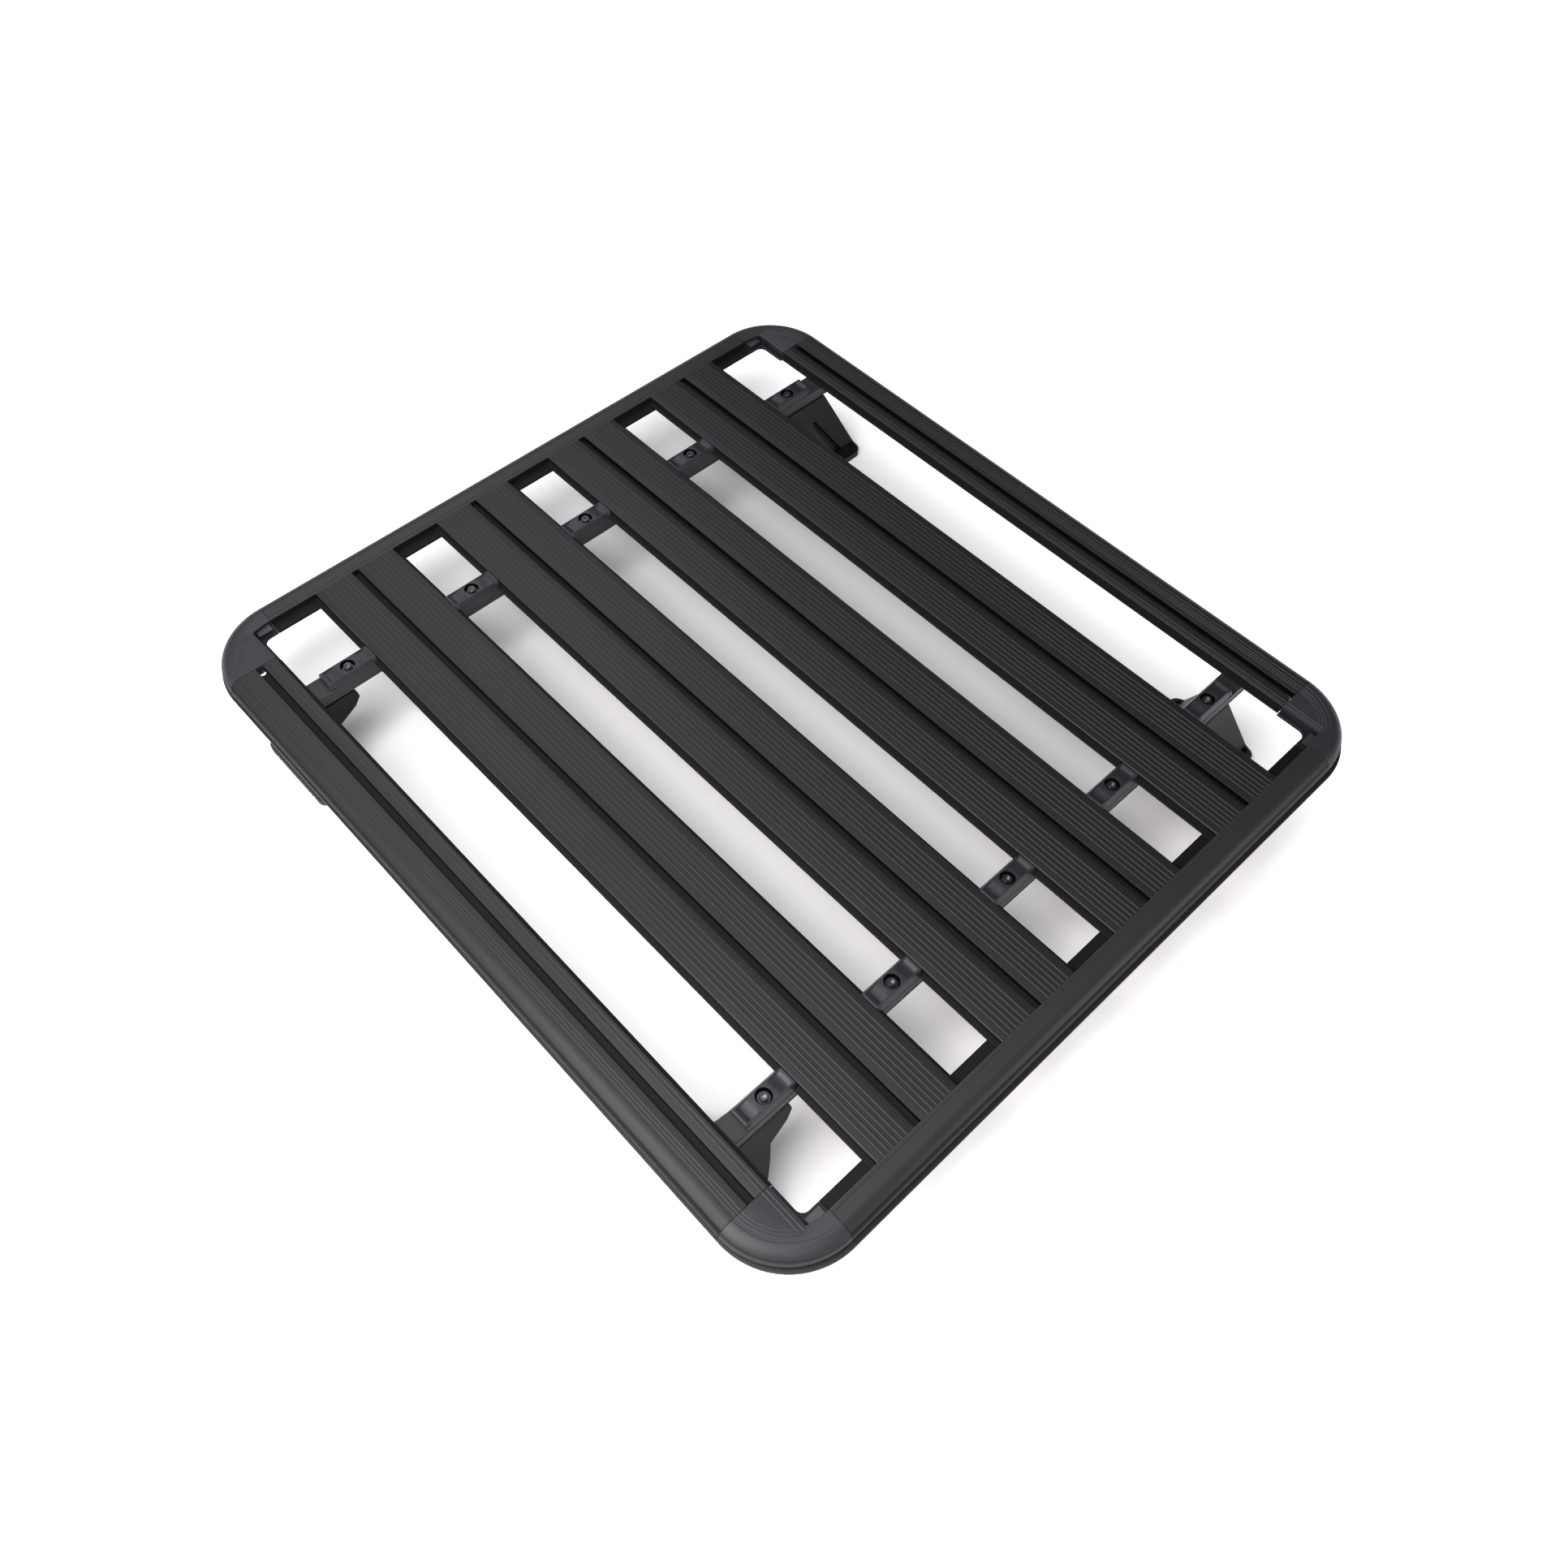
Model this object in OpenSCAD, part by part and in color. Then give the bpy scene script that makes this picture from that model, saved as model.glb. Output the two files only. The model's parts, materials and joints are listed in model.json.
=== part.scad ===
// Slatted roof platform rack on two crossbars with four sliding feet.
// +X runs across the planks, +Y along them towards the rear, +Z up. Z = 0 is the surface under the pads.

/* [Platform] */
// Height of the platform's top above the surface under the pads
deck_height = 165; // [155:1:190]
// Distance between the centres of neighbouring planks
plank_pitch = 231.8; // [230:0.1:236]
// Number of planks between the two edge planks
plank_count = 4; // [4:1:4]
// Length of a plank between the end rails
plank_length = 1249.6; // [1200:0.1:1400]

/* [Plank section] */
// Width of a plank's top plate
plank_top_w = 145; // [140:1:150]
// Width of a plank over its two bottom flanges
plank_flange_w = 161; // [156:1:165]
// Depth of a plank
plank_depth = 13; // [12:0.5:16]
// Width of the slot opening
slot_w = 12; // [10:0.5:14]
// Inner width of the channel under the slot
channel_w = 22; // [20:1:24]
// Wall thickness of the extrusions
wall = 2.5; // [2:0.1:3]
// Ribs on each side of a plank's slot
rib_count = 6; // [4:1:6]
// Distance between neighbouring ribs
rib_pitch = 8.06; // [7:0.01:8.2]
// Width of a rib
rib_w = 1.2; // [0.8:0.1:2]
// Height of a rib
rib_h = 0.5; // [0.3:0.1:1]

/* [Frame] */
// Half width at the edge planks' noses
nose_x = 618; // [616:0.5:622]
// Half length at the end rails' noses
nose_y = 666.8; // [665:0.1:670]
// Half width of the rounded nose's flat top to its side
nose_a = 21.5; // [20:0.5:23]
// Height of the rounded nose
nose_b = 17.5; // [15:0.5:19]
// Depth of the skirt below the platform's top
skirt_depth = 38; // [36:1:42]
// How far the lip under an edge plank's nose stands out
lip_side = 2.7; // [1:0.1:4]
// How far the lip under an end rail's nose stands out
lip_end = 6.2; // [4:0.1:7]
// Inner edge of the end rails from the centre
rail_inner = 624.8; // [600:0.1:700]
// Width of the end rail's ledge that carries the planks
ledge_w = 17.7; // [15:0.1:20]
// Where a corner piece meets the end rail, from the centre
seam_x = 503; // [500:1:506]
// Where a corner piece meets the edge plank, from the centre
seam_y = 555; // [553:1:558]

/* [Crossbars and clamps] */
// Distance of a crossbar from the centre
crossbar_y = 468; // [400:1:500]
// Width of a crossbar
crossbar_w = 40; // [38:1:42]
// Height of a crossbar
crossbar_h = 20; // [20:1:24]
// Half length of a crossbar
crossbar_half = 600; // [595:1:604]
// Length of a clamp block
block_length = 85; // [84:0.5:88]
// Width of a clamp block's top face
block_top_w = 27; // [26:0.5:30]
// Width of a clamp block's base
block_base_w = 36; // [34:0.5:38]

/* [Feet] */
// Inner end of the front left foot's top from the centre
foot_front_left_x = 436; // [420:1:470]
// Inner end of the front right foot's top from the centre
foot_front_right_x = 420; // [420:1:470]
// Inner end of the rear left foot's top from the centre
foot_rear_left_x = 471; // [420:1:471]
// Inner end of the rear right foot's top from the centre
foot_rear_right_x = 452; // [420:1:470]
// Thickness of the pad under a foot
pad_h = 6; // [5:0.5:8]

/* [Hidden] */

// Rounded curves
$fn = 96;
eps = 0.01;

// Colours
plank_colour = [0.17, 0.17, 0.18];
moulded_colour = [0.20, 0.21, 0.23];
steel_colour = [0.35, 0.35, 0.36];
insert_colour = [0.62, 0.63, 0.65];
rubber_colour = [0.08, 0.08, 0.08];

// Heights below the platform's top, as negative numbers
plate_z = -rib_h;
channel_floor_z = -(plank_depth - wall);
lip_under_z = plate_z - wall;
plank_bottom_z = -plank_depth;
ledge_top_z = -plank_depth;
ledge_bottom_z = -17.7;
ledge_lap = 1.5;
crossbar_bottom_z = plank_bottom_z - crossbar_h;

// Plank section
first_rib = 19.3;
port_x = 40;
port_w = 9;
port_bore = 5.1;
bore_depth = 9;

// Edge plank section, from the centre of the platform
edge_flange_x = 529.7;
edge_inner_x = 537;
edge_slot_x = 565;
edge_flat_end = nose_x - nose_a;
edge_boss_x = 584;
edge_boss_w = 12;
edge_rib_x = [541, 547.6, 580.6, 585, 589.6, 595];
drain_hole_d = 10;
drain_hole_inset = 6;

// Groove low on the skirt
groove_z = -26;
groove_h = 2;
groove_depth = 1;
lip_h = 5;

// Corner pieces
corner_r = nose_x - seam_x;
corner_y = nose_y - corner_r;
lip_r = nose_x + lip_side - seam_x;
corner_inner_x = 536;
corner_inner_y = 620;
corner_fillet = 12;
corner_wall = 3;

// Corner insert
insert_clear = 0.4;
insert_top_clear = 1.6;
insert_reach = 40;
insert_end_x = 549.9;
rail_tongue_w = 12;
rail_tongue_h = 7;
edge_tongue_w = 10;
edge_tongue_h = 6.5;
insert_lap = 5;
tab_x = 507;
tab_y = 612;
tab_l = 24;
tab_h = 2.8;
tab_top_z = -6.6;

// Crossbar section: a closed chamber above, a slotted channel below
bar_slot_w = 9;
bar_channel_w = 18;
bar_lip = 2;
bar_top = 3;
bar_channel_depth = 6;
bar_round = 2;
bar_ledge = 0.8;
bar_ledge_h = 3;
cap_t = 3;
cap_plug_l = 12;
cap_plug_w = 6.6;
cap_clear = 0.2;

// Fasteners
clamp_screw_d = 8;
clamp_head_d = 13;
clamp_head_h = 8;
clamp_socket_d = 7;
clamp_recess_d = 23;
washer_d = 18;
washer_h = 1.6;
clamp_shank_l = 14;
edge_screw_d = 6;
edge_shank_l = 19;
edge_head_d = 10;
edge_head_h = 4;
rail_screw_d = 5;
rail_shank_l = 11;
rail_head_d = 9.5;
rail_head_h = 3;
nut_w = 16;
nut_h = 5;

// Clamp block
block_top_z = -1;
block_floor_z = block_top_z - 8;
pocket_start = 14;
pocket_end = 38;
pocket_depth = 2.5;
pocket_tilt = 6;
pocket_rim = 2;
flange_clearance = 0.2;

// Foot: u runs outward from the inner end of its top, v across it towards the platform's centre
foot_gap = 0.3;
foot_land_h = 4;
foot_land_half = 14;
foot_top_half = 20;
foot_top_l = 89;
foot_spread = 0.4;
foot_rake = 0.39;
foot_wall = 3;
foot_ceiling = 7;
foot_pocket_depth = 7;
foot_flare_z = 24;
foot_base_top_z = 13;
foot_base_in = 78;
foot_bolt_u = [24, 65];
foot_bolt_d = 8;
foot_bolt_head_h = 5.3;
foot_bolt_head_w = 14.4;
foot_bolt_l = 18.2;
foot_bolt_recess_d = 18;
foot_bolt_recess_z = 20;
foot_land_u = [8, 83];
foot_hollow_u = 8;
foot_hollow_half = 48;
lobe_u = 121;
lobe_v = 66;
lobe_d = 30;
roof_bolt_hole_d = 9;
pad_rib_pitch = 12;
pad_notch_v = 52.5;

// Inner edge of the arm and of the leg: how far in it starts, and how far below the foot's top
foot_arm_edge = [[6, 4], [2, 5.5], [0, 9], [0, 15], [12, 25], [46, 38]];
foot_leg_edge = [[46, 38], [55, 62], [80, 111]];

function block_x(i) = (i - 3) * plank_pitch;
function plank_x(i) = (i - 2.5) * plank_pitch;

// Height of the foot's top, and the foot's half width and outer end at a distance below it
function foot_top_z() = deck_height + crossbar_bottom_z - foot_gap;
function foot_half(drop) = foot_top_half + foot_spread * (drop - foot_land_h);
function foot_outer(drop) = foot_top_l + foot_rake * (drop - foot_land_h);

// ---------- Extruded sections ----------

// A block of a section between two corners
module bar(x0, z0, x1, z1) {
    translate([min(x0, x1), min(z0, z1)]) square([abs(x1 - x0), abs(z1 - z0)]);
}

// Places an X, Z section along Y, centred
module along_y(length) {
    translate([0, length / 2, deck_height]) rotate([90, 0, 0]) linear_extrude(length) children();
}

// Places a Y, Z section along X, centred
module along_x(length) {
    translate([-length / 2, 0, deck_height]) rotate([90, 0, 90]) linear_extrude(length) children();
}

// Slot with its channel, centred on x
module slot_channel(x) {
    outer = channel_w / 2 + wall;
    bar(x - outer, lip_under_z + eps, x - channel_w / 2, plank_bottom_z);
    bar(x + channel_w / 2, lip_under_z + eps, x + outer, plank_bottom_z);
    bar(x - outer, plank_bottom_z, x + outer, channel_floor_z);
}

// Half of a plank's section, on its +X side
module plank_half_section() {
    half_top = plank_top_w / 2;
    bar(slot_w / 2, lip_under_z, half_top, plate_z);
    for (i = [0 : rib_count - 1])
        bar(first_rib + i * rib_pitch - rib_w / 2, plate_z - eps, first_rib + i * rib_pitch + rib_w / 2, 0);
    bar(half_top - wall, plank_bottom_z, half_top, lip_under_z + eps);
    bar(half_top - eps, plank_bottom_z, plank_flange_w / 2, channel_floor_z);
    bar(port_x - port_w / 2, plank_bottom_z, port_x + port_w / 2, lip_under_z + eps);
}

module plank_section() {
    slot_channel(0);
    plank_half_section();
    mirror([1, 0]) plank_half_section();
}

// The rounded nose and skirt that runs round the frame; its side is at x
module nose_section(x, lip_out) {
    difference() {
        union() {
            translate([x - nose_a, -nose_b]) intersection() {
                scaled_quarter(nose_a, nose_b);
                square([nose_a, nose_b]);
            }
            bar(x - wall, -skirt_depth, x, -nose_b + eps);
            bar(x - eps, -skirt_depth, x + lip_out, -skirt_depth + lip_h);
        }
        translate([x - nose_a, -nose_b]) scaled_quarter(nose_a - wall, nose_b - wall);
        bar(x - groove_depth, groove_z - groove_h, x + eps, groove_z);
    }
}

// An elliptical disc as a polygon
module scaled_quarter(a, b) {
    steps = 64;
    polygon([for (i = [0 : steps - 1]) [a * cos(i * 360 / steps), b * sin(i * 360 / steps)]]);
}

module edge_plank_section() {
    bar(edge_flange_x, plank_bottom_z, edge_inner_x + eps, channel_floor_z);
    bar(edge_inner_x, plank_bottom_z, edge_inner_x + wall, plate_z);
    bar(edge_inner_x, lip_under_z, edge_slot_x - slot_w / 2, plate_z);
    bar(edge_slot_x + slot_w / 2, lip_under_z, edge_flat_end, plate_z);
    bar(edge_flat_end - wall, -wall, edge_flat_end + eps, 0);
    for (x = edge_rib_x)
        bar(x - rib_w / 2, plate_z - eps, x + rib_w / 2, 0);
    slot_channel(edge_slot_x);
    bar(edge_boss_x - edge_boss_w / 2, plank_bottom_z, edge_boss_x + edge_boss_w / 2, lip_under_z + eps);
    nose_section(nose_x, lip_side);
}

module end_rail_section() {
    bar(rail_inner, -wall, nose_y - nose_a + eps, 0);
    bar(rail_inner, ledge_bottom_z, rail_inner + wall, 0);
    bar(rail_inner - ledge_w, ledge_bottom_z, nose_y - wall + eps, ledge_top_z - ledge_lap);
    bar(rail_inner - ledge_w, ledge_bottom_z, rail_inner + wall, ledge_top_z);
    nose_section(nose_y, lip_end);
}

// ---------- Planks and rails ----------

module plank(i) {
    color(plank_colour)
    difference() {
        translate([plank_x(i), 0, 0]) along_y(plank_length) plank_section();
        for (side = [-1, 1], sy = [-1, 1])
            translate([
                plank_x(i) + side * port_x, sy * (rail_inner - ledge_w / 2), deck_height + plank_bottom_z - 1
            ])
                cylinder(h = bore_depth, d = port_bore);
    }
}

// side is 1 for the right plank; the left one is the same extrusion turned round
module edge_plank(side) {
    length = 2 * seam_y;
    color(plank_colour)
    rotate([0, 0, side > 0 ? 0 : 180])
    difference() {
        along_y(length) edge_plank_section();
        translate([edge_slot_x, drain_hole_inset - seam_y, deck_height - plank_depth - 1])
            cylinder(h = plank_depth, d = drain_hole_d);
        for (sy = [-1, 1])
            translate([edge_boss_x, sy * crossbar_y, deck_height - plank_depth - 1])
                cylinder(h = bore_depth, d = edge_screw_d + 0.1);
    }
}

// sy is 1 for the rear rail
module end_rail(sy) {
    color(plank_colour)
    rotate([0, 0, sy > 0 ? 0 : 180])
    difference() {
        along_x(2 * seam_x) end_rail_section();
        for (i = [1 : plank_count], side = [-1, 1])
            translate([plank_x(i) + side * port_x, rail_inner - ledge_w / 2, deck_height + ledge_bottom_z - 1])
                cylinder(h = -ledge_bottom_z + ledge_top_z + 2, d = rail_screw_d + 0.6);
    }
}

// ---------- Corner pieces ----------

// Plan of the frame's opening at a corner, grown outward by the given amount
module corner_opening(grow) {
    steps = 8;
    polygon(concat(
        [[seam_x - 1, rail_inner + grow], [seam_x - 1, seam_y - 1], [corner_inner_x + grow, seam_y - 1]],
        [for (i = [0 : steps]) [
            corner_inner_x + grow - (corner_inner_x + grow - seam_x) * i / steps,
            corner_inner_y + grow + (rail_inner - corner_inner_y) * sin(90 * i / steps)
        ]]
    ));
}

// Square that a corner piece lies in, beyond both seams
module corner_square() {
    translate([seam_x, seam_y]) square([corner_r + 10, corner_r + 10]);
}

// Plan outline of the corner's top, inside the given radius
module corner_top_outline(r) {
    intersection() {
        difference() {
            corner_square();
            corner_opening(0);
        }
        translate([seam_x, corner_y]) circle(r, $fn = 192);
    }
}

// Plan outline of the ledge with its filleted inner corner
module corner_ledge_outline(r) {
    inner_x = edge_flange_x;
    inner_y = rail_inner - ledge_w;
    intersection() {
        difference() {
            corner_square();
            translate([seam_x - 1, seam_y - 1])
                square([inner_x - corner_fillet - seam_x + 1, inner_y - seam_y + 1]);
            translate([seam_x - 1, seam_y - 1])
                square([inner_x - seam_x + 1, inner_y - corner_fillet - seam_y + 1]);
            translate([inner_x - corner_fillet, inner_y - corner_fillet]) circle(corner_fillet);
        }
        translate([seam_x, corner_y]) circle(r, $fn = 192);
    }
}

// Plan outline of the lip, which widens from the edge plank's to the end rail's
module corner_lip_outline(r_in) {
    intersection() {
        difference() {
            translate([seam_x, nose_y + lip_end - lip_r]) circle(lip_r, $fn = 192);
            translate([seam_x, corner_y]) circle(r_in, $fn = 192);
        }
        corner_square();
    }
}

// The rear right corner
module corner_shell() {
    r_in = corner_r - wall;
    difference() {
        union() {
            translate([0, 0, -corner_wall]) linear_extrude(corner_wall)
                corner_top_outline(corner_r - nose_a + 1);
            translate([0, 0, ledge_bottom_z]) linear_extrude(-ledge_bottom_z + plank_bottom_z)
                corner_ledge_outline(r_in + 0.5);
            translate([0, 0, ledge_bottom_z]) linear_extrude(-ledge_bottom_z)
                difference() {
                    intersection() {
                        corner_opening(corner_wall);
                        corner_square();
                    }
                    corner_opening(0);
                }
            translate([seam_x, corner_y, 0])
                rotate_extrude(angle = 90, $fn = 192) nose_section(corner_r, eps);
            translate([0, 0, -skirt_depth]) linear_extrude(lip_h) corner_lip_outline(r_in + 0.5);
        }
        translate([seam_x, corner_y - 5, -skirt_depth - 1])
            cube([corner_r + 10, seam_y - corner_y + 5, skirt_depth + 2]);
        // Window for the insert's tab
        translate([tab_x - insert_clear, tab_y, tab_top_z - tab_h - insert_clear])
            cube([
                tab_l + 2 * insert_clear, rail_inner + wall - tab_y + insert_lap, tab_h + 2 * insert_clear
            ]);
    }
}

// sx and sy say which corner: 1, 1 is rear right
module corner(sx, sy) {
    color(moulded_colour)
    translate([0, 0, deck_height]) mirror([sx < 0 ? 1 : 0, 0, 0]) mirror([0, sy < 0 ? 1 : 0, 0])
        corner_shell();
}

// L-shaped insert that reaches into the end rail and the edge plank
module corner_insert(sx, sy) {
    top = -corner_wall - insert_top_clear;
    rail_y = rail_inner + wall + corner_wall;
    color(insert_colour)
    translate([0, 0, deck_height]) mirror([sx < 0 ? 1 : 0, 0, 0]) mirror([0, sy < 0 ? 1 : 0, 0]) {
        // Tongue in the end rail
        translate([seam_x - insert_reach, rail_y, top - rail_tongue_h])
            cube([insert_end_x - seam_x + insert_reach, rail_tongue_w, rail_tongue_h]);
        // Tongue in the edge plank
        translate([edge_inner_x + wall + insert_clear, seam_y - insert_reach, top - edge_tongue_h])
            cube([edge_tongue_w, rail_y - seam_y + insert_reach + insert_lap, edge_tongue_h]);
        // Tab that shows in the frame's opening
        translate([tab_x, tab_y, tab_top_z - tab_h])
            cube([tab_l, rail_y - tab_y + insert_lap, tab_h]);
    }
}

// ---------- Crossbars ----------

module crossbar_section() {
    top = plank_bottom_z;
    difference() {
        crossbar_outline(top);
        bar(-bar_channel_w / 2, top - bar_top - bar_channel_depth, bar_channel_w / 2, top - bar_top);
        translate([0, crossbar_bottom_z]) {
            bar(-bar_slot_w / 2, -eps, bar_slot_w / 2, bar_lip + eps);
            bar(-bar_channel_w / 2, bar_lip, bar_channel_w / 2, bar_lip + bar_channel_depth);
        }
        for (side = [-1, 1])
            translate([side * (crossbar_w / 4 + bar_channel_w / 4), top - crossbar_h / 2])
                square([
                    crossbar_w / 2 - bar_channel_w / 2 - 2 * bar_lip, crossbar_h - 2 * bar_lip
                ], center = true);
    }
}

// Outline of the crossbar with rounded top edges and a fine ledge low on each side
module crossbar_outline(top) {
    half = crossbar_w / 2 - bar_ledge;
    bar(-half, top - crossbar_h, half, top - bar_round);
    bar(-half + bar_round, top - crossbar_h, half - bar_round, top);
    bar(-half - bar_ledge, top - crossbar_h, half + bar_ledge, top - crossbar_h + bar_ledge_h);
    for (side = [-1, 1])
        translate([side * (half - bar_round), top - bar_round]) circle(bar_round, $fn = 32);
}

// sy is 1 for the rear crossbar
module crossbar(sy) {
    web_z = crossbar_bottom_z + bar_lip + bar_channel_depth;
    color(moulded_colour)
    translate([0, sy * crossbar_y, 0])
    difference() {
        along_x(2 * crossbar_half) crossbar_section();
        for (side = [-1, 1])
            translate([side * edge_boss_x, 0, deck_height + web_z - 1])
                cylinder(h = plank_bottom_z - web_z + 2, d = edge_screw_d + 0.6);
        for (i = [1 : 5])
            translate([block_x(i), 0, deck_height + plank_bottom_z - bar_top - 1])
                cylinder(h = bar_top + 2, d = clamp_screw_d + 1);
    }
}

module crossbar_end_caps(sy) {
    color(rubber_colour)
    for (side = [-1, 1])
        translate([side * crossbar_half, sy * crossbar_y, deck_height + plank_bottom_z - crossbar_h / 2]) {
            translate([side * cap_t / 2, 0, 0]) cube([cap_t, crossbar_w, crossbar_h], center = true);
            for (sy2 = [-1, 1])
                translate([side * (eps - cap_plug_l / 2), sy2 * (crossbar_w / 4 + bar_channel_w / 4), 0])
                    cube([cap_plug_l, cap_plug_w, crossbar_h - 2 * (bar_lip + cap_clear)], center = true);
        }
}

// ---------- Clamps ----------

// Sloped block that bears on the flanges of the planks beside it
module clamp_block_shape() {
    half = block_length / 2;
    flange_tip = (plank_pitch - plank_flange_w) / 2 - flange_clearance;
    step_z = channel_floor_z + flange_clearance;
    difference() {
        rotate([90, 0, 90]) translate([0, 0, -half]) linear_extrude(block_length)
            polygon([
                [-block_base_w / 2, plank_bottom_z], [block_base_w / 2, plank_bottom_z],
                [block_base_w / 2, plank_bottom_z + 2], [block_top_w / 2, block_top_z],
                [-block_top_w / 2, block_top_z], [-block_base_w / 2, plank_bottom_z + 2],
            ]);
        for (side = [-1, 1]) {
            // Step over the plank's flange
            translate([side * (flange_tip + half), 0, step_z - half])
                cube([block_length, block_length, block_length], center = true);
            // Scooped pocket
            translate([side * (pocket_start + pocket_end) / 2, 0, block_top_z])
                rotate([0, side * pocket_tilt, 0])
                cube([
                    pocket_end - pocket_start, block_top_w - 2 * pocket_rim, 2 * pocket_depth
                ], center = true);
        }
        translate([0, 0, block_floor_z]) cylinder(h = block_length, d = clamp_recess_d);
        translate([0, 0, plank_bottom_z - 1]) cylinder(h = block_length, d = clamp_screw_d + 1);
    }
}

module clamp_block(i, sy) {
    color(moulded_colour)
    translate([block_x(i), sy * crossbar_y, deck_height])
        clamp_block_shape();
}

module at_clamps(sy) {
    for (i = [1 : 5])
        translate([block_x(i), sy * crossbar_y, deck_height]) children();
}

module clamp_screws(sy) {
    head_z = block_floor_z + washer_h;
    color(steel_colour)
    at_clamps(sy)
        difference() {
            union() {
                translate([0, 0, head_z]) cylinder(h = clamp_head_h - 2, d = clamp_head_d);
                translate([0, 0, head_z - clamp_shank_l])
                    cylinder(h = clamp_shank_l + eps, d = clamp_screw_d);
            }
            translate([0, 0, head_z + 2]) cylinder(h = clamp_head_h, d = clamp_socket_d, $fn = 6);
        }
}

module clamp_washers(sy) {
    color(steel_colour)
    at_clamps(sy)
        translate([0, 0, block_floor_z])
            difference() {
                cylinder(h = washer_h, d = washer_d);
                translate([0, 0, -1]) cylinder(h = washer_h + 2, d = clamp_screw_d + 0.5);
            }
}

module channel_nut(top_z) {
    translate([0, 0, top_z - nut_h])
        difference() {
            translate([-nut_w / 2, -nut_w / 2, 0]) cube([nut_w, nut_w, nut_h]);
            translate([0, 0, -1]) cylinder(h = nut_h + 2, d = clamp_screw_d + 0.1);
        }
}

module clamp_nuts(sy) {
    color(steel_colour)
    at_clamps(sy) channel_nut(plank_bottom_z - bar_top);
}

// ---------- Screws under the frame ----------

module rail_screws(sy) {
    color(steel_colour)
    for (i = [1 : plank_count], side = [-1, 1])
        translate([
            plank_x(i) + side * port_x, sy * (rail_inner - ledge_w / 2), deck_height + ledge_bottom_z
        ]) {
            cylinder(h = rail_shank_l, d = rail_screw_d);
            translate([0, 0, -rail_head_h]) cylinder(h = rail_head_h, d = rail_head_d);
        }
}

module edge_screws(sy) {
    head_top = crossbar_bottom_z + bar_lip + bar_channel_depth;
    color(steel_colour)
    for (side = [-1, 1])
        translate([side * edge_boss_x, sy * crossbar_y, deck_height + head_top]) {
            cylinder(h = edge_shank_l, d = edge_screw_d);
            translate([0, 0, -edge_head_h]) cylinder(h = edge_head_h, d = edge_head_d);
        }
}

// ---------- Feet ----------

// Places a foot whose top starts at start_x; sx and sy say which corner it stands at
module at_foot(sx, sy, start_x) {
    translate([0, sy * crossbar_y, 0])
        mirror([sx < 0 ? 1 : 0, 0, 0]) mirror([0, sy > 0 ? 1 : 0, 0])
        translate([start_x, 0, 0]) children();
}

// Thin plate at height z from u0 to u1 and from v0 to v1
module slab(u0, u1, v0, v1, z, h = 0.2) {
    translate([u0, v0, z]) cube([u1 - u0, v1 - v0, h]);
}

// Thin plate as wide as the foot at a distance below its top, with its inner edge at u
module foot_slice(u, drop) {
    slab(u, foot_outer(drop), -foot_half(drop), foot_half(drop), foot_top_z() - drop);
}

// The same inside the foot's walls; the wall that carries the pocket is thicker
module hollow_slice(u, drop) {
    half = foot_half(drop) - foot_wall;
    slab(u + foot_wall, foot_outer(drop) - foot_wall, -half, half - foot_pocket_depth, foot_top_z() - drop);
}

// Plan outline of the base with its rounded outer corners, as a plate at height z
module foot_base(z, h) {
    lobe_r = lobe_d / 2;
    slab(foot_base_in, lobe_u, -lobe_v - lobe_r, lobe_v + lobe_r, z, h);
    slab(foot_base_in, lobe_u + lobe_r, -lobe_v, lobe_v, z, h);
    for (side = [-1, 1])
        translate([lobe_u, side * lobe_v, z]) cylinder(h = h, d = lobe_d);
}

// Thin bar across the panel's face at a point [u, drop], reaching a depth into it
module pocket_edge(p, depth) {
    slab(p[0], p[0] + eps, foot_half(p[1]) - depth, foot_half(p[1]) + 2, foot_top_z() - p[1]);
}

// Recess in the panel that faces the platform's centre, deepest along its outer side
module foot_pocket() {
    ridge = [[55, 37], [106, 121]];
    inner = [[43, 38], [78, 121]];
    hull() {
        for (p = ridge)
            pocket_edge(p, foot_pocket_depth);
        for (p = inner)
            pocket_edge(p, 0.5);
    }
}

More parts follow.
